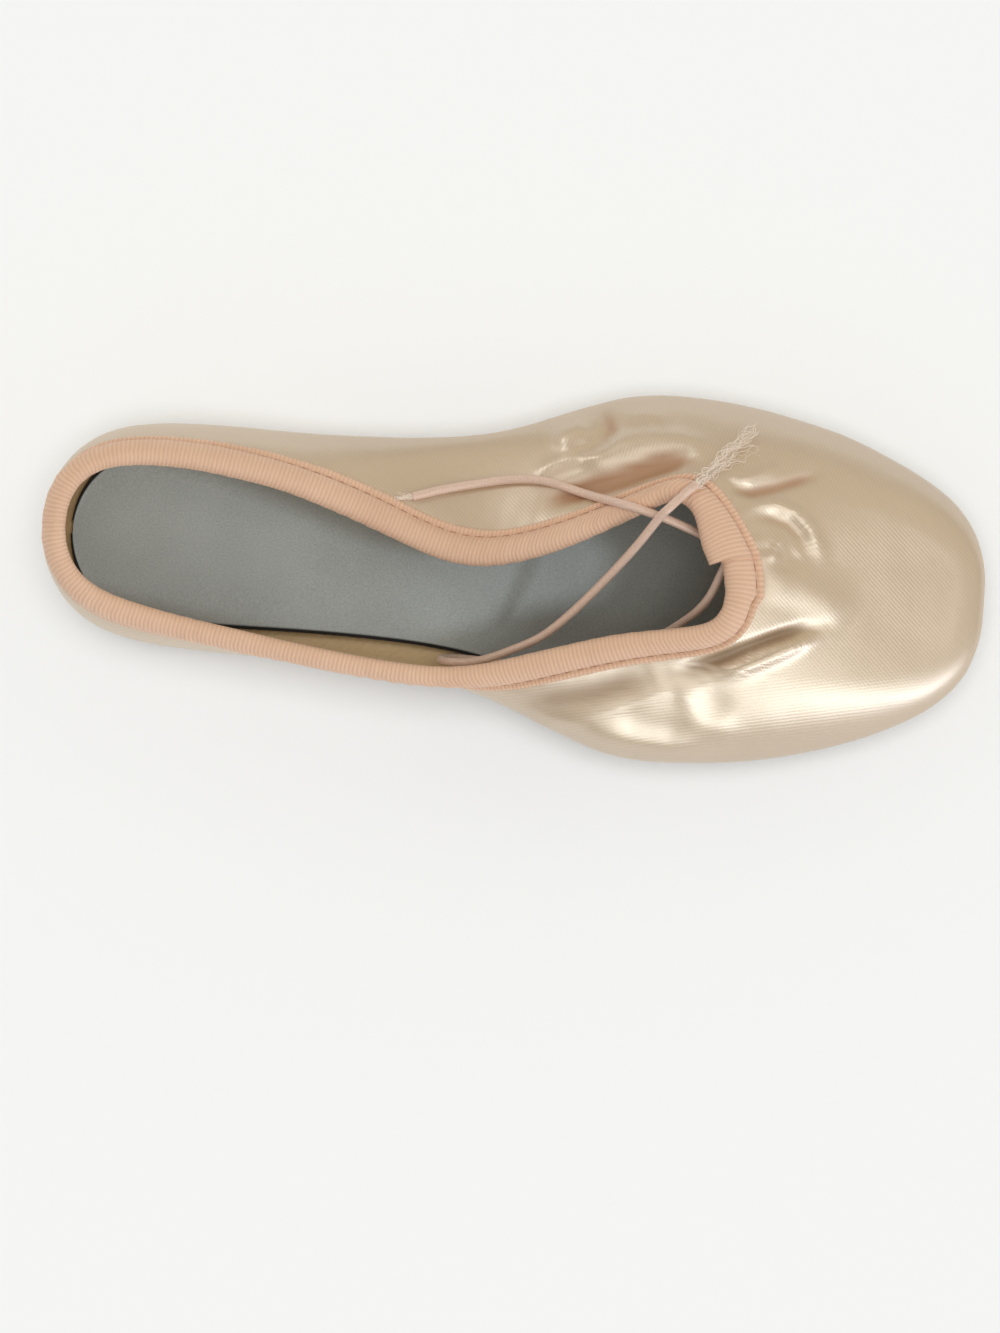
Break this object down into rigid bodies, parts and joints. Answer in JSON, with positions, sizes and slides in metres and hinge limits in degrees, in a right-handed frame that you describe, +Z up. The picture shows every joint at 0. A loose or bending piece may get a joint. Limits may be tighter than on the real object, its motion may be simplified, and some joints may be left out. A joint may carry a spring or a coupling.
{
  "type": "pointe shoe",
  "caption": "Satin pointe shoe with a stiff toe box and flat platform, slack ribbed collar binding, drawstring ends, grey insole and leather sole.",
  "frame": {"origin": "on the floor under the middle of the shoe's length and width", "axes": "+X towards the toe platform, +Z up, +Y towards the side where the slack collar leans in"},
  "size_m": [0.238, 0.0928, 0.0573],
  "materials": {
    "satin": "glossy peach satin over canvas, stiffened at the toes",
    "sole_leather": "matt tan leather, buffed",
    "insole_suede": "grey brushed insole cloth",
    "ribbed_tape": "pink ribbed cotton tape",
    "elastic_cord": "smooth covered elastic cord",
    "cord_fibre": "loose pale fibres"
  },
  "bodies": {
    "root": {"upper": "satin", "outsole": "sole_leather", "insole": "insole_suede", "binding": "ribbed_tape", "drawstring_short": "elastic_cord", "fray_short": "cord_fibre", "drawstring_long": "elastic_cord", "fray_long": "cord_fibre"}
  },
  "joints": []
}
